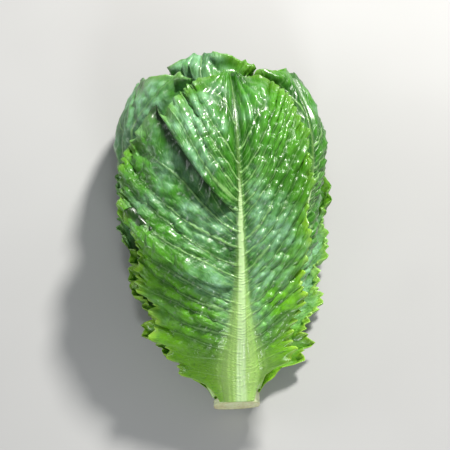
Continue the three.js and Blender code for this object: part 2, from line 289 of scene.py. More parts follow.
def from_midrib(leaf, station, azimuth):
    turn = (azimuth - leaf.azimuth + 180) % 360 - 180
    return np.radians(turn) * arc_rate(station, leaf.azimuth)


def share(leaf, station):
    return (station - leaf.root) / leaf.length


def half_width_at(leaf, station, side):
    t = share(leaf, station)
    full = leaf.width * (1 + side * leaf.lopsided) * np.maximum(along(OUTLINE, t), 0)
    if leaf.index > 0:
        return full
    cut = 1 - SHOULDER_CUT * smooth(t, SHOULDER_FROM, SHOULDER_TO)
    cut *= 1 - NOTCH_CUT * np.exp(-(((t - NOTCH_AT) / NOTCH_WIDTH) ** 2))
    return full * np.where(side > 0, 1, cut)


def rib_reach(leaf, station, spread=1.0):
    return along(RIB_HALF_WIDTH, np.clip(share(leaf, station), 0, 1)) * leaf.rib_scale * spread


def rib_over(leaf, station, distance, spread=1.0):
    """The midrib's thickness over the blade, at a distance from its middle."""
    t = np.clip(share(leaf, station), 0, 1)
    q = np.minimum(np.abs(distance) / rib_reach(leaf, station, spread), 1)
    crown = 1.2 * (1 - q * q) ** 1.5 if spread > 1 else (1 - q * q) ** 0.75
    return leaf.rib_height * along(RIB_HEIGHT, t) * crown


def rib_room(leaf, station, azimuth):
    if math.isinf(leaf.proud_from):
        pressed = 1.0
    else:
        pressed = 1 - smooth(station, leaf.proud_from, leaf.proud_from + PROUD_RAMP)
    return pressed * rib_over(leaf, station, from_midrib(leaf, station, azimuth), RIB_ROOM_SPREAD)


def layer_depth(index, station, azimuth):
    """How deep a leaf's layer lies under the head's outer form."""
    depth = index * along(LAYER_STEP, station)
    for leaf in LEAVES[: index + 1]:
        depth = depth + rib_room(leaf, station, azimuth)
    return depth


def placed(station, azimuth, height, index=0):
    """A point of the head's own space as x, y and z in millimetres, closed with its layer."""
    angle = np.radians(azimuth)
    half_height = along(HALF_HEIGHT, station)
    closed = smooth(station, CLOSING_FROM, CLOSING_TO)
    narrowed = 1 - closed * along(CLOSING_WIDTH, index)
    lowered = 1 - closed * along(CLOSING_HEIGHT, index)
    c = np.cos(angle)
    level = np.where(c >= 0, c, -(np.abs(c) ** UNDERSIDE_SQUARENESS))
    x = (along(HALF_WIDTH, station) + height) * narrowed * np.sin(angle)
    z = half_height + along(REST_CLEARANCE, station) + (half_height + height) * lowered * level
    return np.stack([x, station + 0 * x, z], axis=-1)


def exposure(index, station, azimuth):
    """How free a leaf is to wave: 0 under another leaf or on the table, 1 in the open."""
    free = np.ones_like(station)
    for leaf in LEAVES[:index]:
        distance = from_midrib(leaf, station, azimuth)
        past = np.abs(distance) - half_width_at(leaf, station, np.sign(distance))
        beyond_tip = station - leaf.root - leaf.length
        free *= smooth(np.maximum(past, beyond_tip), COVER_MARGIN, COVER_MARGIN + COVER_FADE)
    return free * smooth(placed(station, azimuth, 0)[..., 2], 5, 20)


# A leaf's blade. u runs across it from -1 to 1, and v along its edge from the root to the tip.
def veins_below(v):
    """How many side veins leave the midrib between the root and v, closer together at the tip."""
    return SIDE_VEINS * v + TIP_VEINS * smooth(v, TIP_VEINS_FROM, 1)


def vein_phase(u, v):
    """Whole numbers on the side veins, which leave the midrib by turns left and right."""
    warp = VEIN_WARP * np.sin(VEIN_WARP_ACROSS * u + VEIN_WARP_ALONG * v)
    return veins_below(v) + SIDE_VEINS * warp + np.where(u < 0, 0.5, 0)



def fold_lift(v, u):
    """The top leaf's folds: how high each lip stands, how far it hangs over, and the shade painted into the
    crease under it.
    """
    lift = np.zeros_like(u)
    overhang = np.zeros_like(u)
    crease_shade = np.zeros_like(u)
    left = smooth(-u, 0.02, 0.3)
    for place, height in FOLDS:
        past = v - place
        lip = smooth(past, -FOLD_EDGE, FOLD_EDGE) * (1 - smooth(past, 0, FOLD_FADE))
        groove = FOLD_GROOVE * np.exp(-(((past + 2 * FOLD_EDGE) / FOLD_EDGE) ** 2))
        lift += left * (height * lip - groove)
        turned = past / FOLD_EDGE
        overhang += left * FOLD_OVERHANG * turned * np.exp(-turned * turned / 2)
        # Painted shade in the crease just under each lip.
        crease_shade += left * np.exp(-((turned + 0.9) ** 2))
    return lift, overhang, crease_shade


def crinkles(distance, station, seed, lengths):
    """Random wrinkles as a sum of waves that cross, from the shortest to the longest length."""
    draw = np.random.default_rng(seed)
    total = np.zeros_like(distance)
    for _ in range(CRINKLE_WAVES):
        length = draw.uniform(*lengths)
        heading, start = draw.uniform(0, TURN, 2)
        reach = distance * math.cos(heading) + station * math.sin(heading)
        total += np.sin(TURN * reach / length + start)
    return total / math.sqrt(CRINKLE_WAVES)


def edge_run(v):
    """How far along the edge v is, which runs on longer round the tip."""
    return v + TIP_STRETCH * smooth(v, 0.9, 1)


def notches(count, drift, run, shift):
    """Sharp notches between round lobes: 1 at the bottom of a notch, 0 on top of a lobe."""
    phase = count * run
    for size, pace, own in drift:
        phase = phase + size * np.sin(pace * run + own * shift)
    return 1 - np.abs(np.sin(math.pi * phase))


def edge_outline(leaf, v, side, across):
    """The share of the blade's width that its lobes and teeth leave, and how far they cut it back.

    They cut into its width along the sides, and into its length round the tip.
    """
    run = edge_run(v)
    shift = leaf.index + side
    uneven = 0.5 + 0.5 * np.sin(23 * run + 2 * shift) * np.sin(9.7 * run + 3 * shift)
    lobes = notches(LOBES, LOBE_DRIFT, run, shift) ** 2 * uneven
    uneven_teeth = 0.35 + 0.65 * np.sin(13 * run + 5 * shift) ** 2
    teeth = (notches(TEETH, TOOTH_DRIFT, run, shift) * uneven_teeth) ** 1.5
    near_edge = smooth(across, NOTCHED_FROM, 1)
    depth = (LOBE_DEPTH * lobes + TOOTH_DEPTH * teeth) * near_edge * smooth(v, 0.03, 0.1)
    back = TIP_TOOTH_DEPTH * (lobes + 0.5 * teeth) * near_edge * smooth(v, 0.8, 0.93)
    return 1 - depth, back


def edge_waves(leaf, v, side, across):
    """How high the edge ruffles, curls and frills, and how far the curls lean along it."""
    shift = RUFFLE_SHIFT * leaf.index + RUFFLE_SIDE_SHIFT * side
    broad = np.sin(TURN * (RUFFLES * v + shift) + RUFFLE_WANDER * np.sin(RUFFLE_PACE * v))
    run = edge_run(v)
    curl = TURN * (CURLS * run + 0.4 * leaf.index + 0.2 * side) + 2.1 * np.sin(11 * run + side)
    frill = TURN * (FRILLS * run + 0.7 * side) + 1.7 * np.sin(19 * run + leaf.index)
    flare = along(EDGE_FLARE, v) * across**2.5
    ruffle = along(RUFFLE_HEIGHT, v) * (0.5 + 0.5 * broad) * smooth(across, RUFFLE_FROM, 1)
    swing = np.sin(14 * run + 2.3 * leaf.index + 1.7 * side) * np.sin(5.1 * run + leaf.index)
    uneven = 0.6 + 0.4 * swing
    curls = uneven * along(CURL_HEIGHT, v) * np.sin(curl) * smooth(across, CURL_FROM, 1)
    frills = along(FRILL_HEIGHT, v) * np.sin(frill) * smooth(across, FRILL_FROM, 1)
    height = (flare + ruffle + curls + frills) * (1 - TIP_CALM * smooth(v, 0.95, 1))
    return height, -CURL_SLIP * uneven * np.cos(curl) * smooth(across, SLIP_FROM, 1)


def vein_gap(points, v):
    """Millimetres from each side vein to the next, square to the veins."""
    along_u = np.gradient(points, axis=1)
    along_v = np.gradient(points, axis=0)
    area = np.linalg.norm(np.cross(along_u, along_v), axis=-1)
    step = np.abs(np.gradient(veins_below(v), axis=0))
    return area / np.maximum(np.linalg.norm(along_u, axis=-1) * step, 1e-6)


def blisters(phase, across, v):
    """The rows of swellings between the side veins: 0 at a vein, up to 1 between two."""
    cell = np.floor(phase)
    between = np.sin(math.pi * (phase - cell)) ** 2
    turn = TURN * (BLISTERS_ALONG_VEIN * across + BLISTER_STEP * cell) + 1.5 * np.sin(3 * phase)
    pinched = 1 - BLISTER_PINCH * (1 - np.sin(turn))
    off_edges = smooth(across, 0.06, 0.22) * (1 - 0.6 * smooth(across, 0.8, 1))
    return between * pinched * off_edges * smooth(v, 0.1, 0.3)


def vein_ridges(phase, gap, across, v):
    """How high the side veins stand out of the blade."""
    off_vein = np.abs(phase - np.rint(phase)) * gap
    ridge = np.exp(-((off_vein / VEIN_HALF_WIDTH) ** 2))
    return VEIN_RELIEF * ridge * (1 - across**1.5) * smooth(v, 0.06, 0.2)


def blade(leaf, columns, rows):
    """A leaf as grids over rows and columns: its points, and the vectors its material reads."""
    u = np.linspace(-1, 1, columns + 1)[None, :] + np.zeros((rows + 1, 1))
    even = np.linspace(0, 1, rows + 1)[:, None] + np.zeros((1, columns + 1))
    v = even * (1.4 - 0.4 * even)
    side = np.where(u < 0, -1.0, 1.0)
    across = np.abs(u)
    start = along(VEIN_START, v)
    station = leaf.root + leaf.length * (start + (v - start) * across**VEIN_CURVE)
    rag = np.sin(7 * u + 3 * leaf.index) + 0.5 * np.sin(15 * u + leaf.index)
    edge_station = leaf.root + leaf.length * v
    outline, back = edge_outline(leaf, v, side, across)
    distance = u * half_width_at(leaf, edge_station, side) * outline
    azimuth = leaf.azimuth + np.degrees(distance / arc_rate(station, leaf.azimuth))
    depth = layer_depth(leaf.index, station, azimuth)

    inside = smooth(across, 0.05, 0.4) * (1 - 0.5 * smooth(across, 0.7, 1))
    bulge = BULGE * inside * smooth(v, 0.15, 0.35)
    overhang = 0
    crease_shade = 0 * u
    if leaf.index == 0:
        folded, overhang, crease_shade = fold_lift(v, u)
        bulge = bulge + folded
    waves, slip = edge_waves(leaf, v, side, across)
    slip = slip + TIP_RAG * rag * smooth(v, 0.94, 1)
    swell = SWELL_HEIGHT * crinkles(distance, station, SWELL_SEED + leaf.index, SWELL_LENGTHS)
    free = exposure(leaf.index, station, azimuth) * smooth(v, 0.03, 0.12)
    lift = np.maximum(bulge + waves + leaf.curl * smooth(v, 0.85, 1) + swell * inside, 0)

    # The fine relief leaves the midrib and the fleshy foot smooth, and fades under other leaves.
    t = np.clip(share(leaf, station), 0, 1)
    off_rib = np.abs(distance)
    crown = along(PALE_CROWN, t) * leaf.rib_scale
    fan = along(PALE_FAN, t) * leaf.rib_scale
    on_flesh = (1 - smooth(off_rib / fan, 0.55, 1.3)) * (1 - smooth(t, 0.3, 0.5))
    loose = smooth(off_rib, 0.8, 6) * (1 - on_flesh) * (1 - 0.7 * smooth(t, 0.9, 1))
    loose = loose * (COVERED_RELIEF + (1 - COVERED_RELIEF) * free)
    phase = vein_phase(u, v)
    blister = blisters(phase, across, v)
    crinkle = crinkles(distance, station, leaf.index, CRINKLE_LENGTHS) * smooth(v, 0.06, 0.3)
    fine = loose * (BLISTER_HEIGHT * blister + CRINKLE_HEIGHT * crinkle)
    moved = station + free * slip - overhang - back
    inner = placed(moved, azimuth, free * lift + fine - depth, leaf.index)

    gap = vein_gap(placed(station, azimuth, -depth, leaf.index), v)
    ridge = vein_ridges(phase, gap, across, v)
    ridge *= smooth(off_rib / rib_reach(leaf, station), 0.6, 1.3)
    sway = FIBRE_SWAY * np.sin(0.05 * station + 0.3 * distance)
    strands = TURN * FIBRES_ACROSS * distance / fan + sway
    fibres = FIBRE_RELIEF * np.cos(strands) * (1 - smooth(off_rib / fan, 0.7, 1.2))
    fibres *= 1 - smooth(t, 0.22, 0.42)
    thickness = BLADE_THICKNESS + (EDGE_THICKNESS - BLADE_THICKNESS) * smooth(across, 0.85, 1)
    thickness = thickness + rib_over(leaf, station, distance) + ridge + fibres
    outer = inner + normals_of(inner) * thickness[..., None]
    outer[..., 2] = pressed(outer[..., 2])
    inner[..., 2] = np.maximum(inner[..., 2], EDGE_THICKNESS)
    return {
        "inner": inner,
        "outer": outer,
        "place": np.stack([(u + 1) / 2, v], axis=-1),
        "midrib": np.stack([off_rib, crown, fan], axis=-1),
        "strands": np.stack([strands, t, 0 * t], axis=-1),
        # The relief's first value is the blister height less the painted crease shade.
        "relief": np.stack([blister - 2 * crease_shade, np.minimum(gap, WIDEST_GAP), distance], axis=-1),
    }


def pressed(z):
    """The table presses the lowest part of the head flat."""
    low = np.clip(z, 0, PRESSED_HEIGHT)
    return np.where(z < PRESSED_HEIGHT, low * low / PRESSED_HEIGHT, z)


def normals_of(points):
    """Unit normals of a grid of points, away from the head."""
    along_u = np.gradient(points, axis=1)
    along_v = np.gradient(points, axis=0)
    normal = np.cross(along_u, along_v)
    return normal / np.maximum(np.linalg.norm(normal, axis=-1, keepdims=True), 1e-9)


# The stem, whose lowest corner says where in the frame the head stands.
STEM_TOP = 42
STEM_STATIONS = [-1, 2, 5, 9, 13, 17, 21, 25, 29, 33, 37, STEM_TOP]
STEM_GAP = 0.7
CAD_STEM_SIDES = 28


def stem_height(station, azimuth):
    depth = STEM_GAP + 0 * station
    for leaf in LEAVES[:LARGE_LEAVES]:
        begun = smooth(station, leaf.root - 5, leaf.root - 1)
        step = along(LAYER_STEP, station) if leaf.index > 0 else 0
        depth = depth + begun * (step + rib_room(leaf, station, azimuth))
    return -depth


def rings(stations, azimuths, height_at):
    station, azimuth = np.meshgrid(np.array(stations, float), azimuths, indexing="ij")
    return placed(station, azimuth, height_at(station, azimuth))


coarse_stem = rings(STEM_STATIONS, np.arange(CAD_STEM_SIDES) * 360 / CAD_STEM_SIDES, stem_height)
stem_corner = np.array(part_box("stem")[0]) / MM
OFFSET = stem_corner - coarse_stem.reshape(-1, 3).min(axis=0)


def to_frame(points):
    return (points + OFFSET) * MM


# Turning grids into meshes.
def finished_object(name, bm, material):
    mesh = bpy.data.meshes.new(name)
    bm.to_mesh(mesh)
    bm.free()
    mesh.shade_smooth()
    obj = bpy.data.objects.new(name, mesh)
    bpy.context.scene.collection.objects.link(obj)
    mesh.materials.append(material)
    return obj


def slab(columns, rows):
    """A closed slab of two like grids: x across, y along, and z 0 inside and 1 outside."""
    bm = bmesh.new()
    bmesh.ops.create_grid(bm, x_segments=columns, y_segments=rows, size=1)
    copy = bmesh.ops.duplicate(bm, geom=bm.verts[:] + bm.edges[:] + bm.faces[:])["geom"]
    upper = set(v for v in copy if isinstance(v, bmesh.types.BMVert))
    bmesh.ops.translate(bm, verts=list(upper), vec=(0, 0, 1))
    bmesh.ops.reverse_faces(bm, faces=[f for f in bm.faces if f.verts[0] not in upper])
    bmesh.ops.bridge_loops(bm, edges=[e for e in bm.edges if e.is_boundary])
    bmesh.ops.recalc_face_normals(bm, faces=bm.faces[:])
    return bm


def vertex_places(mesh):
    spots = np.empty(len(mesh.vertices) * 3)
    mesh.vertices.foreach_get("co", spots)
    return spots.reshape(-1, 3)


def leaf_object(name, leaf, material, columns, rows):
    grids = blade(leaf, columns, rows)
    obj = finished_object(name, slab(columns, rows), material)
    mesh = obj.data
    spots = vertex_places(mesh)
    column = np.rint((spots[:, 0] + 1) / 2 * columns).astype(int)
    row = np.rint((spots[:, 1] + 1) / 2 * rows).astype(int)
    outside = spots[:, 2:] > 0.5
    points = np.where(outside, grids["outer"][row, column], grids["inner"][row, column])
    mesh.vertices.foreach_set("co", to_frame(points).ravel())
    for attribute in ("midrib", "relief", "strands"):
        data = mesh.attributes.new(attribute, "FLOAT_VECTOR", "POINT").data
        data.foreach_set("vector", grids[attribute][row, column].astype(np.float32).ravel())
    corners = np.empty(len(mesh.loops), int)
    mesh.loops.foreach_get("vertex_index", corners)
    places = grids["place"][row, column][corners]
    mesh.uv_layers.new(name="leaf").data.foreach_set("uv", places.ravel())
    mesh.update()
    return obj


# Materials.
class Wiring:
    """Adds nodes to a tree and joins each to what feeds it."""

    def __init__(self, tree):
        self.tree = tree

    def node(self, kind, feeds=None, **settings):
        node = self.tree.nodes.new(kind)
        for name, value in settings.items():
            setattr(node, name, value)
        for socket, value in (feeds or {}).items():
            self.feed(node.inputs[socket], value)
        return node

    def feed(self, socket, value):
        if isinstance(value, bpy.types.NodeSocket):
            self.tree.links.new(value, socket)
        else:
            socket.default_value = value

    def math(self, operation, *values):
        return self.node("ShaderNodeMath", dict(enumerate(values)), operation=operation).outputs[0]

    def vector(self, operation, *values):
        return self.node("ShaderNodeVectorMath", dict(enumerate(values)), operation=operation).outputs[0]

    def attribute(self, name):
        given = self.node("ShaderNodeAttribute", attribute_name=name).outputs["Vector"]
        return self.node("ShaderNodeSeparateXYZ", {"Vector": given}).outputs

    def group(self, tree, **feeds):
        return self.node("ShaderNodeGroup", feeds, node_tree=tree).outputs

    def ramp(self, value, low, high, to_low=0.0, to_high=1.0):
        feeds = {"Value": value, "From Min": low, "From Max": high, "To Min": to_low, "To Max": to_high}
        return self.node("ShaderNodeMapRange", feeds, interpolation_type="SMOOTHSTEP").outputs["Result"]

    def blend(self, factor, first, second, mode="MIX"):
        mix = self.node("ShaderNodeMix", data_type="RGBA", blend_type=mode)
        self.feed(mix.inputs["Factor"], factor)
        self.feed(mix.inputs[6], first)
        self.feed(mix.inputs[7], second)
        return mix.outputs[2]

    def noise(self, vector, scale, detail=3.0, roughness=0.55):
        feeds = {"Vector": vector, "Scale": scale, "Detail": detail, "Roughness": roughness}
        return self.node("ShaderNodeTexNoise", feeds).outputs["Fac"]


def shader_group(name, inputs, outputs):
    """A new node group with named sockets: its wiring, its inputs, and its output node."""
    tree = bpy.data.node_groups.new(name, "ShaderNodeTree")
    for socket, kind in inputs:
        tree.interface.new_socket(socket, in_out="INPUT", socket_type=kind)
    for socket, kind in outputs:
        tree.interface.new_socket(socket, in_out="OUTPUT", socket_type=kind)
    wiring = Wiring(tree)
    return wiring, wiring.node("NodeGroupInput").outputs, wiring.node("NodeGroupOutput").inputs


def side_vein_group():
    """Where a leaf's side veins and the fine veins between them run, from its UV place."""
    w, given, out = shader_group(
        "side_veins",
        [("Place", "NodeSocketVector"), ("Gap", "NodeSocketFloat"), ("Width", "NodeSocketFloat")],
        [("Veins", "NodeSocketFloat"), ("Fine", "NodeSocketFloat"), ("Across", "NodeSocketFloat")],
    )
    place = w.node("ShaderNodeSeparateXYZ", {"Vector": given["Place"]}).outputs
    u = w.math("MULTIPLY_ADD", place["X"], 2.0, -1.0)
    across = w.math("ABSOLUTE", u)
    turn = w.math("MULTIPLY_ADD", place["Y"], VEIN_WARP_ALONG, w.math("MULTIPLY", u, VEIN_WARP_ACROSS))
    warped = w.math("MULTIPLY_ADD", w.math("SINE", turn), VEIN_WARP, place["Y"])
    left = w.math("LESS_THAN", u, 0.0)
    phase = w.math("MULTIPLY_ADD", warped, float(SIDE_VEINS), w.math("MULTIPLY", left, 0.5))
    phase = w.math("ADD", phase, w.ramp(place["Y"], TIP_VEINS_FROM, 1.0, 0.0, float(TIP_VEINS)))
    width = w.math("MULTIPLY", given["Width"], w.math("MULTIPLY_ADD", across, -0.6, 1.0))
    off = w.math("MULTIPLY", w.math("PINGPONG", phase, 0.5), given["Gap"])
    veins = w.ramp(w.math("DIVIDE", off, width), 0.3, 1.0, 1.0, 0.0)
    forked = w.math("MULTIPLY_ADD", phase, 4.0, w.math("MULTIPLY", across, -2.2))
    fine_gap = w.math("MULTIPLY", given["Gap"], 0.25)
    fine_off = w.math("MULTIPLY", w.math("PINGPONG", forked, 0.5), fine_gap)
    fine = w.ramp(w.math("DIVIDE", fine_off, w.math("MULTIPLY", width, 0.6)), 0.3, 1.0, 1.0, 0.0)
    patchy = w.ramp(w.noise(given["Place"], 9.0, 3.0), 0.35, 0.6)
    w.feed(out["Veins"], veins)
    w.feed(out["Fine"], w.math("MULTIPLY", fine, patchy))
    w.feed(out["Across"], across)
    return w.tree


def vein_net_group():
    """The net of the smallest veins and the tiny swellings in it, from a place in millimetres."""
    w, given, out = shader_group(
        "vein_net",
        [("Place", "NodeSocketVector"), ("Cell", "NodeSocketFloat")],
        [("Net", "NodeSocketFloat"), ("Height", "NodeSocketFloat")],
    )
    scale = w.math("DIVIDE", 1.0, given["Cell"])
    nudge = w.node("ShaderNodeTexNoise", {"Vector": given["Place"], "Scale": 0.2, "Detail": 3.0})
    moved = w.vector("MULTIPLY", nudge.outputs["Color"], (7.0, 7.0, 0.0))
    place = w.vector("ADD", given["Place"], moved)
    cells = w.node("ShaderNodeTexVoronoi", {"Vector": place, "Scale": scale}, feature="DISTANCE_TO_EDGE")
    edge = cells.outputs["Distance"]
    w.feed(out["Net"], w.ramp(edge, 0.0, 0.09, 1.0, 0.0))
    streaks = w.noise(w.vector("MULTIPLY", place, (0.55, 1.5, 1.0)), 0.45, 3.0)
    w.feed(out["Height"], w.math("MULTIPLY_ADD", streaks, 1.6, w.ramp(edge, 0.0, 0.4, 0.0, 0.5)))
    return w.tree


# Square metres of the head's x times its y over which the waxy bloom and painted sheen go from more to
# less.
QUARTER_BLEND_WITHIN = 0.0018


def bloom_and_sheen_group():
    """Patches of pale waxy bloom with painted sheen, fewer in two quarters of the head, and a slow drift of
    tone.
    """
    w, given, out = shader_group(
        "wax_bloom_and_sheen",
        [("Vector", "NodeSocketVector"), ("Amount", "NodeSocketFloat")],
        [("Bloom_and_sheen", "NodeSocketFloat"), ("Tone", "NodeSocketFloat")],
    )
    spot = w.node("ShaderNodeSeparateXYZ", {"Vector": given["Vector"]}).outputs
    bloom_and_sheen_by_quarter = w.ramp(w.math("MULTIPLY", spot["X"], spot["Y"]), -QUARTER_BLEND_WITHIN, QUARTER_BLEND_WITHIN, 0.05, -0.09)
    patches = w.ramp(w.math("ADD", w.noise(given["Vector"], 24.0, 3.0), bloom_and_sheen_by_quarter), 0.40, 0.66)
    specks = w.ramp(w.noise(given["Vector"], 190.0, 4.0), 0.30, 0.66, 0.45, 1.0)
    w.feed(out["Bloom_and_sheen"], w.math("MULTIPLY", given["Amount"], w.math("MULTIPLY", patches, specks)))
    w.feed(out["Tone"], w.noise(given["Vector"], 17.0, 4.0))
    return w.tree


SIDE_VEINS_GROUP = side_vein_group()
VEIN_NET_GROUP = vein_net_group()
BLOOM_AND_SHEEN_GROUP = bloom_and_sheen_group()


def new_material(name, roughness, coat, subsurface, glow_radius):
    material = bpy.data.materials.new(name)
    material.use_nodes = True
    shader = material.node_tree.nodes["Principled BSDF"]
    shader.inputs["Roughness"].default_value = roughness
    shader.inputs["Coat Weight"].default_value = coat
    shader.inputs["Coat Roughness"].default_value = 0.16
    shader.inputs["Specular IOR Level"].default_value = 0.35
    shader.inputs["Subsurface Weight"].default_value = subsurface
    shader.inputs["Subsurface Radius"].default_value = glow_radius
    shader.inputs["Subsurface Scale"].default_value = 0.002
    return material, Wiring(material.node_tree), shader


# The next colour is pale bluish waxy bloom with painted sheen.
WAX_AND_SHEEN = (0.27, 0.53, 0.33, 1)
PALE_FLESH = (0.43, 0.69, 0.18, 1)
RIB_FLESH = (0.57, 0.80, 0.38, 1)
# The next colour is a bright yellow-green rim, partly the margin's own colour, partly painted highlight.
MARGIN_AND_HIGHLIGHT = (0.42, 0.70, 0.06, 1)
# The next colour is painted shade for the top leaf's fold creases.
CREASE_SHADE = (0.004, 0.03, 0.001, 1)
UV_LENGTH = 250.0


def leaf_material(name, base, middle, tip, edge, deep_tone_and_shade, vein, bloom_and_sheen_amount, vein_share):
    """A waxy leaf, with painted sheen and shade. Its colours run from its pale foot by way of its middle to
    its tip.
    """
    material, w, shader = new_material(name, 0.34, 0.35, 0.1, (0.5, 1.0, 0.25))
    uv = w.node("ShaderNodeUVMap", uv_map="leaf").outputs["UV"]
    v = w.node("ShaderNodeSeparateXYZ", {"Vector": uv}).outputs["Y"]
    # The relief's first value is the blister height less the painted crease shade.
    blister, gap, distance = w.attribute("relief")
    off_rib, crown, fan = w.attribute("midrib")
    strands = w.attribute("strands")["X"]
    veins = w.group(SIDE_VEINS_GROUP, Place=uv, Gap=gap, Width=1.15)
    length = w.math("MULTIPLY", v, UV_LENGTH)
    in_mm = w.node("ShaderNodeCombineXYZ", {"X": distance, "Y": length}).outputs[0]
    net = w.group(VEIN_NET_GROUP, Place=in_mm, Cell=3.4)
    spot = w.node("ShaderNodeTexCoord").outputs["Object"]
    # Waxy bloom with painted sheen, and a slow drift of tone.
    bloom = w.group(BLOOM_AND_SHEEN_GROUP, Vector=spot, Amount=bloom_and_sheen_amount)
    across, tone = veins["Across"], bloom["Tone"]
    drift = w.math("MULTIPLY_ADD", tone, 0.4, w.math("SUBTRACT", v, 0.2))

    colour = w.blend(w.ramp(drift, 0.02, 0.3), base, middle)
    colour = w.blend(w.ramp(drift, 0.36, 0.72), colour, tip)
    # Lighter towards the edge, most in the lower half: partly the blade's own colour, partly painted
    # highlight where the frills catch light.
    edge_tint_and_highlight = w.math("MULTIPLY", w.ramp(across, 0.5, 0.97), w.ramp(v, 0.15, 0.7, 0.9, 0.15))
    colour = w.blend(edge_tint_and_highlight, colour, edge)
    # Painted shade: the low places between the blisters are darkened, more towards the tip.
    hollow_shade = w.math("MULTIPLY", w.ramp(blister, 0.0, 0.5, 1.0, 0.0), w.ramp(v, 0.08, 0.35, 0.1, 0.78))
    colour = w.blend(w.math("MULTIPLY", hollow_shade, w.ramp(across, 0.7, 1.0, 1.0, 0.3)), colour, deep_tone_and_shade)
    colour = w.blend(w.ramp(tone, 0.38, 0.62, 0.4, 0.0), colour, deep_tone_and_shade)
    # Painted sheen with the waxy bloom: pale bluish green, strongest on the raised blisters.
    raised_bloom_and_sheen = w.math("MULTIPLY", bloom["Bloom_and_sheen"], w.ramp(blister, 0.0, 0.6, 0.45, 1.0))
    colour = w.blend(w.math("MULTIPLY", raised_bloom_and_sheen, w.ramp(v, 0.1, 0.45)), colour, WAX_AND_SHEEN)
    # A bright yellow-green rim, most in the lower half: partly the margin's own colour, partly painted
    # highlight on the frills.
    margin_and_highlight = w.math("MULTIPLY", w.ramp(across, 0.9, 1.0), w.ramp(v, 0.2, 0.8, 0.6, 0.12))
    colour = w.blend(margin_and_highlight, colour, MARGIN_AND_HIGHLIGHT)
    colour = w.blend(w.math("MULTIPLY", net["Net"], 0.12), colour, vein)
    fading = w.ramp(across, 0.1, 0.95, vein_share, vein_share * 0.25)
    colour = w.blend(w.math("MULTIPLY", veins["Fine"], w.math("MULTIPLY", fading, 0.45)), colour, vein)
    beside_rib = w.ramp(w.math("DIVIDE", off_rib, crown), 0.9, 1.6)
    fading = w.math("MULTIPLY", fading, beside_rib)
    colour = w.blend(w.math("MULTIPLY", veins["Veins"], fading), colour, vein)
    # Painted shade: darker where the fine bump is low.
    colour = w.blend(w.ramp(net["Height"], 0.35, 1.0, 0.5, 0.0), colour, deep_tone_and_shade)
    # Painted shade, nearly black, along the top leaf's fold creases.
    colour = w.blend(w.ramp(blister, -1.2, -0.1, 0.95, 0.0), colour, CREASE_SHADE)

    in_fan = w.math("DIVIDE", off_rib, fan)
    fan_share = w.math("MULTIPLY", w.ramp(in_fan, 0.35, 1.2, 1.0, 0.0), w.ramp(fan, 2.0, 11.0, 0.15, 0.9))
    stripe = w.ramp(w.math("COSINE", strands), -1.0, 1.0, 0.88, 1.0)
    fan_share = w.math("MULTIPLY", fan_share, stripe)
    colour = w.blend(fan_share, colour, PALE_FLESH)
    rib = w.ramp(w.math("DIVIDE", off_rib, crown), 0.5, 1.15, 1.0, 0.0)
    rib = w.math("MULTIPLY", rib, w.ramp(crown, 0.5, 1.5))
    w.feed(shader.inputs["Base Color"], w.blend(w.math("MULTIPLY", rib, 0.8), colour, RIB_FLESH))

    rough = w.math("MULTIPLY_ADD", bloom["Bloom_and_sheen"], 0.2, w.math("MULTIPLY_ADD", tone, 0.2, 0.2))
    w.feed(shader.inputs["Roughness"], w.math("MULTIPLY_ADD", rib, 0.1, rough))
    height = w.math("MULTIPLY", net["Height"], w.math("SUBTRACT", 1.0, rib))
    height = w.math("MULTIPLY_ADD", veins["Veins"], 0.5, height)
    height = w.math("MULTIPLY_ADD", veins["Fine"], 0.3, height)
    bump = w.node("ShaderNodeBump", {"Height": height, "Strength": 0.75, "Distance": 0.0006})
    w.feed(shader.inputs["Normal"], bump.outputs["Normal"])
    return material


CUT_FLESH = (0.66, 0.74, 0.38, 1)
CUT_FLESH_PALE = (0.80, 0.84, 0.55, 1)
CUT_RING = (0.55, 0.42, 0.2, 1)
CUT_BROWN = (0.50, 0.30, 0.12, 1)


def stem_material():
    """Pale firm flesh, browned on the cut, with a ring of fibres."""
    material, w, shader = new_material("cut_stem", 0.5, 0.1, 0.2, (1.0, 0.9, 0.5))
    spot = w.node("ShaderNodeTexCoord").outputs["Object"]
    cut = w.node("ShaderNodeAttribute", attribute_name="cut").outputs["Fac"]
    radius = w.node("ShaderNodeAttribute", attribute_name="radius").outputs["Fac"]
    grain = w.noise(spot, 420.0, 4.0)
    stain = w.ramp(w.noise(spot, 90.0, 4.0), 0.42, 0.68)
    flesh = w.blend(w.ramp(grain, 0.3, 0.7), CUT_FLESH, CUT_FLESH_PALE)
    ring = w.math("MULTIPLY", w.ramp(radius, 0.55, 0.68), w.ramp(radius, 0.7, 0.84, 1.0, 0.0))
    flesh = w.blend(w.math("MULTIPLY", ring, 0.35), flesh, CUT_RING)
    browned = w.math("MULTIPLY_ADD", w.ramp(radius, 0.75, 1.0), 0.28, w.math("MULTIPLY", stain, 0.2))
    browned = w.math("MULTIPLY", cut, browned)
    w.feed(shader.inputs["Base Color"], w.blend(browned, flesh, CUT_BROWN))
    bump = w.node("ShaderNodeBump", {"Height": grain, "Strength": 0.5, "Distance": 0.0005})
    w.feed(shader.inputs["Normal"], bump.outputs["Normal"])
    return material


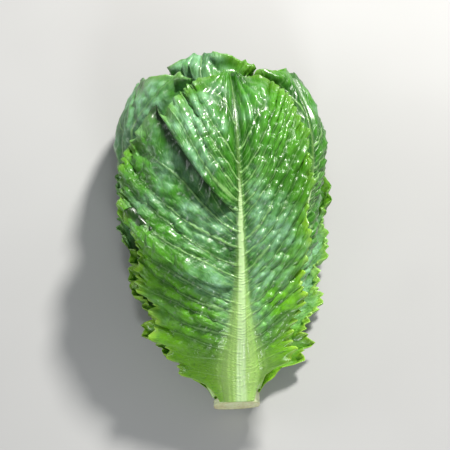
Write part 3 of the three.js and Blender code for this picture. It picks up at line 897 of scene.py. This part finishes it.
OUTER_LEAF = leaf_material(
    "outer_leaf",
    base=(0.29, 0.64, 0.025, 1), middle=(0.13, 0.45, 0.006, 1), tip=(0.052, 0.25, 0.01, 1),
    edge=(0.21, 0.55, 0.006, 1), deep_tone_and_shade=(0.006, 0.07, 0.0005, 1), vein=(0.34, 0.64, 0.20, 1),
    bloom_and_sheen_amount=0.88, vein_share=0.55,
)
INNER_LEAF = leaf_material(
    "inner_leaf",
    base=(0.46, 0.66, 0.12, 1), middle=(0.19, 0.48, 0.02, 1), tip=(0.075, 0.31, 0.02, 1),
    edge=(0.26, 0.58, 0.02, 1), deep_tone_and_shade=(0.022, 0.14, 0.003, 1), vein=(0.44, 0.70, 0.24, 1),
    bloom_and_sheen_amount=0.5, vein_share=0.5,
)
HEART_LEAF = leaf_material(
    "heart_leaf",
    base=(0.70, 0.76, 0.34, 1), middle=(0.50, 0.66, 0.15, 1), tip=(0.20, 0.45, 0.06, 1),
    edge=(0.36, 0.58, 0.09, 1), deep_tone_and_shade=(0.09, 0.25, 0.02, 1), vein=(0.62, 0.76, 0.38, 1),
    bloom_and_sheen_amount=0.2, vein_share=0.5,
)
CUT_STEM = stem_material()


# Pieces turned round the head's axis: the stem and the heart's core.
ROUND_SIDES = 96
FOOT_RINGS = 16
TOP_RINGS = 7
CUT_SUNK = 0.9
CUT_DENTS = 0.25
CORE_STATIONS = (STEM_TOP + 0.6, 134)
CORE_DRAWS_IN = (56, 92)
CORE_TAPERS_FROM = 100
CORE_EDGE = 1.6


def core_height(station, azimuth):
    outside = layer_depth(LARGE_LEAVES, station, azimuth) + 0.5 * along(LAYER_STEP, station)
    inside = layer_depth(len(LEAVES) - 1, station, azimuth) + along(LAYER_STEP, station)
    closed = along(HALF_HEIGHT, station) - CORE_EDGE
    depth = outside + (inside - outside) * smooth(station, *CORE_DRAWS_IN)
    tapered = depth + (closed - depth) * smooth(station, CORE_TAPERS_FROM, CORE_STATIONS[1])
    return -np.minimum(tapered, closed)


def turned_object(name, stations, height_at, material):
    """A closed piece whose rings follow the head's form, with a slightly sunken foot."""
    bm = bmesh.new()
    foot = [(r, stations[0]) for r in np.linspace(0, 1, FOOT_RINGS)]
    wall = [(1.0, station) for station in stations[1:]]
    top = [(r, stations[-1]) for r in np.linspace(0.85, 0, TOP_RINGS)]
    profile = [bm.verts.new((r, station, 0)) for r, station in foot + wall + top]
    edges = [bm.edges.new(pair) for pair in zip(profile, profile[1:])]
    bmesh.ops.spin(
        bm, geom=profile + edges, cent=(0, 0, 0), axis=(0, 1, 0), angle=TURN,
        steps=ROUND_SIDES, use_merge=True, use_duplicate=False,
    )
    bmesh.ops.remove_doubles(bm, verts=bm.verts[:], dist=1e-5)
    bmesh.ops.recalc_face_normals(bm, faces=bm.faces[:])
    obj = finished_object(name, bm, material)
    mesh = obj.data
    x, station, z = vertex_places(mesh).T
    radius = np.hypot(x, z)
    azimuth = np.degrees(np.arctan2(x, z))
    ring = placed(station, azimuth, height_at(station, azimuth))
    axis = np.stack([0 * x, station, along(HALF_HEIGHT, station) + along(REST_CLEARANCE, station)], axis=-1)
    points = axis + radius[:, None] * (ring - axis)
    on_foot = station < stations[0] + 0.01
    dents = CUT_DENTS * np.sin(0.9 * points[:, 0]) * np.sin(1.1 * points[:, 2] + 1)
    points[:, 1] += on_foot * (1 - radius**6) * (CUT_SUNK + dents)
    mesh.vertices.foreach_set("co", to_frame(points).ravel())
    for attribute, values in (("cut", on_foot), ("radius", radius)):
        data = mesh.attributes.new(attribute, "FLOAT", "POINT").data
        data.foreach_set("value", values.astype(np.float32))
    mesh.update()
    return obj


def stand_for(obj, node):
    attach(obj, "root")
    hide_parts(node)


# How fine each leaf's mesh is, across and along. The outer ones show most.
FINENESS = [(150, 250), (110, 190), (120, 210), (120, 210)] + [(90, 160)] * 4 + [(70, 120)] * 3
HEART_FINENESS = (60, 100)
LARGE_MATERIALS = [OUTER_LEAF] * 6 + [INNER_LEAF] * 5


def build_head():
    stem = turned_object("cut_stem", np.linspace(STEM_STATIONS[0], STEM_TOP, 50), stem_height, CUT_STEM)
    stand_for(stem, "stem")
    core = turned_object("heart_core", np.linspace(*CORE_STATIONS, 40), core_height, CUT_STEM)
    stand_for(core, "heart")
    for leaf in LEAVES[:LARGE_LEAVES]:
        number = f"{leaf.index + 1:02d}"
        obj = leaf_object(f"blade_{number}", leaf, LARGE_MATERIALS[leaf.index], *FINENESS[leaf.index])
        stand_for(obj, f"leaf_{number}")
    for k, leaf in enumerate(LEAVES[LARGE_LEAVES:]):
        obj = leaf_object(f"heart_blade_{k + 1}", leaf, HEART_LEAF, *HEART_FINENESS)
        stand_for(obj, "heart")


# The studio: a pale floor, three lights, and the photograph's view from above.
FLOOR_SIZE = 40.0
FLOOR_DROP = 0.0001
FLOOR_TONES = (0.44, 0.44, 0.435, 1), (0.48, 0.48, 0.475, 1)
FLOOR_AWAY = (0.93, 0.93, 0.94, 1)
LIGHTS = [
    ("key", (0.5, 0.85, 0.87), 0.2, 28, (1.0, 0.98, 0.94)),
    ("fill", (0.2, -1.2, 0.8), 0.4, 7.5, (0.97, 0.99, 1.0)),
    ("side", (-1.2, 0.1, 0.6), 0.6, 4, (0.96, 0.98, 1.0)),
]
LIGHTS_AIM = Vector((0, 0, 0.05))
SKY = (0.93, 0.96, 1.0, 1)
SKY_STRENGTH = 0.24
VIEW_ELEVATION = 75
VIEW_ROLL = 3.5
VIEW_DISTANCE = 1.5
VIEW_FIELD = 0.345
SENSOR = 36.0


def pale_floor():
    bm = bmesh.new()
    bmesh.ops.create_grid(bm, x_segments=1, y_segments=1, size=FLOOR_SIZE / 2)
    material = bpy.data.materials.new("pale_floor")
    material.use_nodes = True
    w = Wiring(material.node_tree)
    shader = material.node_tree.nodes["Principled BSDF"]
    spot = w.node("ShaderNodeTexCoord").outputs["Object"]
    tone = w.ramp(w.noise(spot, 3.0), 0.3, 0.7)
    near = w.blend(tone, *FLOOR_TONES)
    away = w.node("ShaderNodeVectorMath", {0: spot}, operation="LENGTH").outputs["Value"]
    w.feed(shader.inputs["Base Color"], w.blend(w.ramp(away, 0.9, 2.8), near, FLOOR_AWAY))
    shader.inputs["Roughness"].default_value = 0.7
    floor = finished_object("floor", bm, material)
    floor.location.z = -FLOOR_DROP


def area_light(name, spot, size, power, colour):
    light = bpy.data.lights.new(name, "AREA")
    light.shape = "DISK"
    light.size = size
    light.energy = power
    light.color = colour
    obj = bpy.data.objects.new(name, light)
    obj.location = spot
    obj.rotation_euler = (LIGHTS_AIM - Vector(spot)).to_track_quat("-Z", "Y").to_euler()
    bpy.context.scene.collection.objects.link(obj)


def studio_light():
    for light in LIGHTS:
        area_light(*light)
    world = bpy.data.worlds.new("studio")
    world.use_nodes = True
    background = world.node_tree.nodes["Background"]
    background.inputs["Color"].default_value = SKY
    background.inputs["Strength"].default_value = SKY_STRENGTH
    bpy.context.scene.world = world
    bpy.context.scene.view_settings.view_transform = "Standard"
    bpy.context.scene.view_settings.look = "None"


def photo_camera():
    camera = bpy.data.cameras.new("camera")
    camera.sensor_width = SENSOR
    camera.lens = SENSOR * VIEW_DISTANCE / VIEW_FIELD
    camera.clip_end = 20
    obj = bpy.data.objects.new("camera", camera)
    low, high = Vector(cad_box[0]), Vector(cad_box[1])
    elevation = math.radians(VIEW_ELEVATION)
    back = Vector((0, -math.cos(elevation), math.sin(elevation)))
    obj.rotation_mode = "QUATERNION"
    look = (-back).to_track_quat("-Z", "Y")
    roll = Quaternion((0, 0, 1), math.radians(-VIEW_ROLL))
    obj.rotation_quaternion = look @ roll
    obj.location = (low + high) / 2 + back * VIEW_DISTANCE
    bpy.context.scene.collection.objects.link(obj)
    bpy.context.scene.camera = obj


photo_camera()
studio_light()
pale_floor()
build_head()
